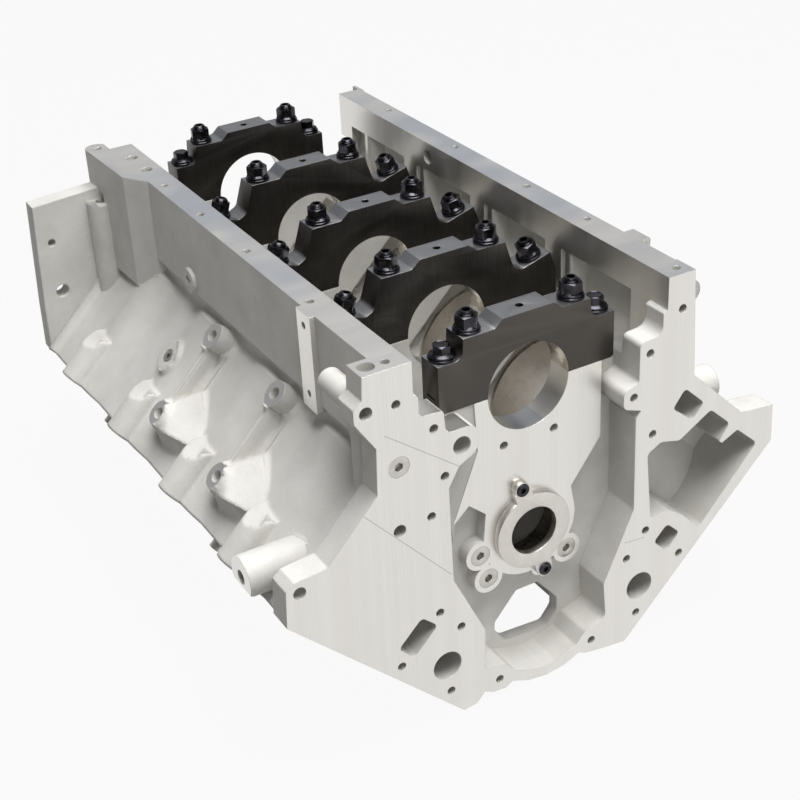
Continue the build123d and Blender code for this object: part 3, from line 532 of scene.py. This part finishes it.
# how the skin is laid over the casting, in mm
skin = {
    "step": 2.2, "fineStep": 0.7, "fineReach": 5.0, "rowStep": 1.2, "rowReach": 16.0,
    "gap": 0.2, "start": 130.0, "least": 40.0, "lift": 0.2, "climb": 3.5, "hem": 6.0,
}


def smoothMax(a, b, blend):
    mix = np.clip(0.5 + 0.5 * (a - b) / blend, 0, 1)
    return b + (a - b) * mix + blend * mix * (1 - mix)


def polygonDistance(u, v, corners):
    # signed distance to a closed outline, negative inside
    nearest = np.full(u.shape, 1e9)
    inside = np.zeros(u.shape, bool)
    for (au, av), (bu, bv) in zip(corners, corners[1:] + corners[:1]):
        eu, ev = bu - au, bv - av
        along = np.clip(((u - au) * eu + (v - av) * ev) / (eu * eu + ev * ev), 0, 1)
        nearest = np.minimum(nearest, np.hypot(u - au - along * eu, v - av - along * ev))
        crossing = (av > v) != (bv > v)
        with np.errstate(divide="ignore", invalid="ignore"):
            inside ^= crossing & (u < au + eu * (v - av) / ev)
    return np.where(inside, -nearest, nearest)


def spacing(low, high, step, fineSpots, fineStep, reach):
    # sample places from low to high, closer together round each fine spot
    places = [low]
    while places[-1] < high:
        near = any(abs(places[-1] + fineStep - spot) < reach for spot in fineSpots)
        places.append(places[-1] + (fineStep if near else step))
    return np.array(places[:-1] + [high])


def over(distance):
    # how far something is past a limit, and nothing short of it
    return np.clip(distance, 0, None)


def concave(distance, radius):
    # height of a rounded inside corner at a distance from the wall that it runs up
    near = np.clip(radius - distance, 0, radius)
    return radius - np.sqrt(radius * radius - near * near)


def fromMiddle(y, start):
    # distance along the block from the nearest of four middles, in a row that begins at start
    place = (y - start) / cylinderPitch - 0.5
    return (place - np.clip(np.round(place), 0, 3)) * cylinderPitch


def arch(offset, radius):
    # height of a round barrel at an offset from its axis
    return np.sqrt(over(radius ** 2 - offset ** 2))


def besideBoss(height, distance, fillet, inset):
    # a fillet runs up to what stands out, and inside it the skin is sunk out of sight
    height = height + concave(distance, fillet)
    return np.where(distance < -inset, flank["sunk"], height)


def flankHeights(y, d, side):
    f = flank
    barrel = arch(fromMiddle(y, side * f["stagger"]), f["barrel"]) - over(f["barrelTop"] - d)
    height = smoothMax(np.full(y.shape, f["wall"]), barrel, f["barrelBlend"])
    offset = fromMiddle(y, 0)
    column = f["columnAxis"] + arch(offset, f["column"])
    column = column - over(np.abs(offset) - f["column"] + f["columnEdge"]) * f["columnDraft"]
    past = d - f["columnStart"]
    top = f["columnTop"] + np.minimum(f["columnRise"] * past, f["columnFall"] * past)
    height = smoothMax(height, np.minimum(column, top), f["columnBlend"])
    upper, lower = f["rows"]
    inSpan = (d > upper) & (d < lower)
    for mountY in f["mounts"][side]:
        along, down = y - mountY, d - lower
        web = f["webTop"] - over(np.abs(along) - f["webHalf"]) * f["webDraft"]
        foot = f["footTop"] - over(np.abs(along + f["footShift"]) - f["footHalf"]) * f["footDraft"]
        height = smoothMax(height, np.where(inSpan, foot, 0), f["footBlend"])
        height = smoothMax(height, np.where(inSpan, web, 0), f["webBlend"])
        outline = polygonDistance(along, down, f["wedge"])
        (lowAlong, lowDown), (uphillAlong, uphillDown) = f["wedgeLow"], f["wedgeUphill"]
        rise = (along - lowAlong) * uphillAlong + (down - lowDown) * uphillDown
        rise = np.clip(rise * f["wedgeRise"], 0, f["wedgeMost"])
        wedge = f["wall"] + f["wedgeBase"] + rise
        wedge = wedge - over(outline + f["wedgeEdge"]) * f["wedgeDraft"]
        wedge = np.where(outline < f["wedgeReach"], wedge, 0)
        height = smoothMax(height, wedge, f["wedgeBlend"])
        for row in f["rows"]:
            fromBoss = np.hypot(along, d - row) - f["bossRadius"]
            height = besideBoss(height, fromBoss, f["bossFillet"], f["bossInset"])
    fromDrain = np.hypot(y - f["drain"][side], d - f["drainDepth"]) - f["drainRadius"]
    height = besideBoss(height, fromDrain, f["drainFillet"], f["drainInset"])
    height = height + concave(d - f["crease"], f["creaseFillet"])
    height = height + concave(y - f["from"], f["frontFillet"])
    return height + concave(f["to"] - y, f["rearFillet"])


def castingHeights(y, d, side, tree):
    # how far the casting itself comes out at each place, from rays shot inwards
    outward = Vector((side * diag, 0, diag))
    start = skin["start"]
    heights = np.full(y.shape, -1e3)
    for i, j in np.ndindex(*y.shape):
        away, up = side * (d[i, j] + start) * diag, (start - d[i, j]) * diag
        hit = tree.ray_cast(Vector((away, y[i, j], up)) * mm, -outward)
        if hit[0] is not None:
            heights[i, j] = start - hit[3] / mm
    return heights


def flankSkin(name, side, tree):
    f, s = flank, skin
    spots = [mountY + k * f["webHalf"] for mountY in f["mounts"][side] for k in (-1, 1)]
    for number in range(4):
        spots += [(number + 0.5) * cylinderPitch + k * f["column"] for k in (-1, 1)]
    us = spacing(f["from"], f["to"], s["step"], spots, s["fineStep"], s["fineReach"])
    levels = (*f["rows"], f["columnStart"])
    vs = spacing(f["crease"] + s["gap"], f["deck"], s["step"], levels, s["rowStep"], s["rowReach"])
    y, d = np.meshgrid(us, vs, indexing="ij")
    wanted = flankHeights(y, d, side)
    casting = castingHeights(y, d, side, tree)
    # the skin lies just over the casting, and under the bosses and ears that stand out of it
    excess = np.where(casting > s["least"], casting + s["lift"] - wanted, -1)
    # beside a steep wall it stays low, so that its edge doesn't climb in teeth
    gentle = excess < s["climb"]
    for shift, axis in ((1, 0), (-1, 0), (1, 1), (-1, 1)):
        gentle &= np.roll(excess, shift, axis) < s["climb"]
    height = wanted + np.where(gentle, over(excess), 0)
    # a hem all round dives into the casting
    us, vs = (np.concatenate([w[:1], w, w[-1:]]) for w in (us, vs))
    height = np.pad(height, 1, mode="edge")
    height[[0, -1], :] -= s["hem"]
    height[1:-1, [0, -1]] -= s["hem"]
    y, d = np.meshgrid(us, vs, indexing="ij")
    points = np.stack([side * (d + height) * diag, y, (height - d) * diag], -1) * mm
    index = np.arange(y.size).reshape(y.shape)
    corners = [index[:-1, :-1], index[1:, :-1], index[1:, 1:], index[:-1, 1:]]
    quads = np.stack(corners, -1).reshape(-1, 4)
    quads = quads if side > 0 else quads[:, ::-1]
    mesh = bpy.data.meshes.new(name)
    mesh.from_pydata(points.reshape(-1, 3).tolist(), [], quads.tolist())
    mesh.shade_smooth()
    newPiece(name, mesh, "cast_aluminium")


makePocketWall()
castMesh = nodes["block_casting"].data
castTree = BVHTree.FromPolygons([v.co for v in castMesh.vertices],
                                [p.vertices for p in castMesh.polygons])
flankSkin("flank_skin_left", -1, castTree)
flankSkin("flank_skin_right", 1, castTree)
print("pocket wall and flank skins done")


# fasteners, each turned from rings of height and radius in mm, with a word where it isn't round
nutRings = [
    (0, 5.6), (0, 8.8), (0.35, 9.3), (1.5, 9.3), (1.9, 8.9),
    (3.0, 7.65, "hex"), (10.8, 7.65, "crown"), (10.8, 6.9), (10.8, 6.2), (10.1, 5.6),
]
washerRings = [(0, 5.6), (0, 9.9), (0.4, 10.2), (1.8, 10.2), (2.2, 9.8), (2.2, 5.6)]
studRings = [
    (13.1, 5.55), (13.4, 5.15), (13.75, 5.55), (14.1, 5.15), (14.5, 5.5),
    (15.2, 5.0), (16.0, 4.3), (16.0, 3.0, "hex"), (12.4, 3.0, "hex"), (11.8, 1.2),
]
boltRings = [
    (0, 4.0), (0, 8.7), (0.35, 9.2), (1.5, 9.2), (1.9, 8.8),
    (3.0, 6.0, "hex"), (9.2, 6.0, "crown"), (9.2, 5.2), (8.8, 4.6), (8.7, 1.0),
]
# rings of the lower end, with heights from the tip
studTip = [(0, 5.0), (0.6, 5.55)]
boltTip = [(0, 3.5), (0.6, 4.0)]
turning = {"sides": 60, "crownFrom": 0.65, "crownSlope": 0.577, "sharpAngle": 26}
capRows = {
    # where the caps stand along the crank axis, and the heights that their fasteners sit on
    "rows": (0.0, 111.76, 223.52, 335.28, 456.84), "padEnd": 54.2, "pad": 56.7, "stepEnd": 38.2,
    "innerX": 44.3, "outerX": 83.9, "boltX": 65.4,
    "wingLow": 29.0, "wingRise": 8.0, "wingRun": 27.0, "wingRoot": 70.0,
    "washer": 2.2, "innerBelow": 62.0, "outerBelow": 45.0, "boltBelow": 68.4,
    # degrees that a hexagon is turned on from one row, side and kind to the next
    "rowTurn": 37, "sideTurn": 11, "cornerTurn": 14, "outerTurn": 23,
}


def turnedPiece(node, rings, places, looped):
    # rings round each place's axis, joined up; a place is its origin, axis, turn in degrees and
    # the rings that come before the shared ones
    count = turning["sides"]
    angles = np.arange(count) / count * 2 * math.pi
    sector = (angles + math.pi / 6) % (math.pi / 3) - math.pi / 6
    vertices, faces = [], []
    for origin, axis, turn, firstRings in places:
        start = len(vertices)
        ahead = Vector(axis).normalized()
        across = Vector((0, 1, 0))
        third = ahead.cross(across)
        rows = firstRings + rings
        for height, size, *kind in rows:
            radius = size / np.cos(sector) if kind else np.full(count, size)
            level = np.full(count, height)
            if "crown" in kind:
                past = radius - size + turning["crownFrom"]
                level = height - past * turning["crownSlope"]
            for angle, r, h in zip(angles + math.radians(turn), radius, level):
                outwards = across * math.cos(angle) + third * math.sin(angle)
                vertices.append((Vector(origin) + ahead * float(h) + outwards * float(r)) * mm)
        for i in range(len(rows) if looped else len(rows) - 1):
            a, b = start + i * count, start + (i + 1) % len(rows) * count
            for j in range(count):
                k = (j + 1) % count
                faces.append((a + j, b + j, b + k, a + k))
        if not looped:
            end = len(vertices)
            faces.append(tuple(range(start, start + count)))
            faces.append(tuple(range(end - 1, end - count - 1, -1)))
    mesh = bpy.data.meshes.new("turned_" + node)
    mesh.from_pydata(vertices, [], faces)
    shape = bmesh.new()
    shape.from_mesh(mesh)
    bmesh.ops.recalc_face_normals(shape, faces=shape.faces)
    shape.to_mesh(mesh)
    shape.free()
    mesh.shade_smooth()
    mesh.set_sharp_from_angle(angle=math.radians(turning["sharpAngle"]))
    piece = newPiece("turned_" + node, mesh, slotOf[node])
    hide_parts(node)


def lifted(places, height, firstRings=()):
    # the same places, moved up their axes
    return [(tuple(Vector(origin) + Vector(axis) * height), axis, turn, list(firstRings))
            for origin, axis, turn in places]


def below(depth, tip):
    # a tip's rings, that far down from the seat
    return [(height - depth, size) for height, size in tip]


def turnFasteners():
    c = capRows
    wing = math.hypot(c["wingRise"], c["wingRun"])
    wingTop = c["wingLow"] + c["wingRise"] * (c["outerX"] - c["wingRoot"]) / c["wingRun"]
    inner, outer, corner = [], [], []
    for number, y in enumerate(c["rows"]):
        atEnd = number in (0, 4)
        for side in (-1, 1):
            turn = (number * c["rowTurn"] + side * c["sideTurn"]) % 60
            pad = c["padEnd"] if atEnd else c["pad"]
            inner.append(((side * c["innerX"], y, pad), (0, 0, 1), turn))
            if atEnd:
                seat = (side * c["boltX"], y, c["stepEnd"])
                corner.append((seat, (0, 0, 1), turn + c["cornerTurn"]))
            else:
                lean = (-side * c["wingRise"] / wing, 0, c["wingRun"] / wing)
                outer.append(((side * c["outerX"], y, wingTop), lean, turn + c["outerTurn"]))
    for word, places in (("inner", inner), ("outer", outer)):
        turnedPiece(word + "_main_washers", washerRings, lifted(places, 0), True)
        turnedPiece(word + "_main_nuts", nutRings, lifted(places, c["washer"]), True)
        studs = [(origin, axis, turn, below(origin[2] / axis[2] + c[word + "Below"], studTip))
                 for origin, axis, turn in places]
        turnedPiece(word + "_main_studs", studRings, studs, False)
    turnedPiece("end_cap_washers", washerRings, lifted(corner, 0), True)
    bolts = lifted(corner, c["washer"], below(c["boltBelow"], boltTip))
    turnedPiece("end_cap_bolts", boltRings, bolts, False)


turnFasteners()
print("fasteners done")


# parts that keep their shape and get broken edges, with each edge's width in mm
edgeWidths = {
    "main_cap_1": 0.9, "main_cap_2": 0.9, "main_cap_3": 0.9, "main_cap_4": 0.9, "main_cap_5": 0.9,
    "cam_retainer_ring": 0.4, "cam_retainer_screws": 0.3,
    "front_plug": 0.4, "gallery_plugs": 0.4, "drain_plugs": 0.4,
}
# gap closed in mm, and the angles in degrees that count as flat and as an edge
edges = {"merge": 0.004, "flatAngle": 0.6, "edgeAngle": 32, "segments": 2}


def softened(node, width):
    # the same part with its edges broken, as a deburred edge is
    mesh = nodes[node].data.copy()
    mesh.name = "soft_" + node
    shape = bmesh.new()
    shape.from_mesh(mesh)
    bmesh.ops.remove_doubles(shape, verts=shape.verts, dist=edges["merge"] * mm)
    bmesh.ops.dissolve_limit(shape, angle_limit=math.radians(edges["flatAngle"]),
                             verts=shape.verts, edges=shape.edges)
    for face in shape.faces:
        face.smooth = True
    shape.to_mesh(mesh)
    shape.free()
    piece = newPiece("soft_" + node, mesh, slotOf[node])
    edge = piece.modifiers.new("brokenEdge", "BEVEL")
    edge.width, edge.segments, edge.limit_method = width * mm, edges["segments"], "ANGLE"
    edge.angle_limit = math.radians(edges["edgeAngle"])
    edge.harden_normals = True
    edge.use_clamp_overlap = True
    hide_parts(node)


for node, width in edgeWidths.items():
    softened(node, width)
print("softened pieces done")
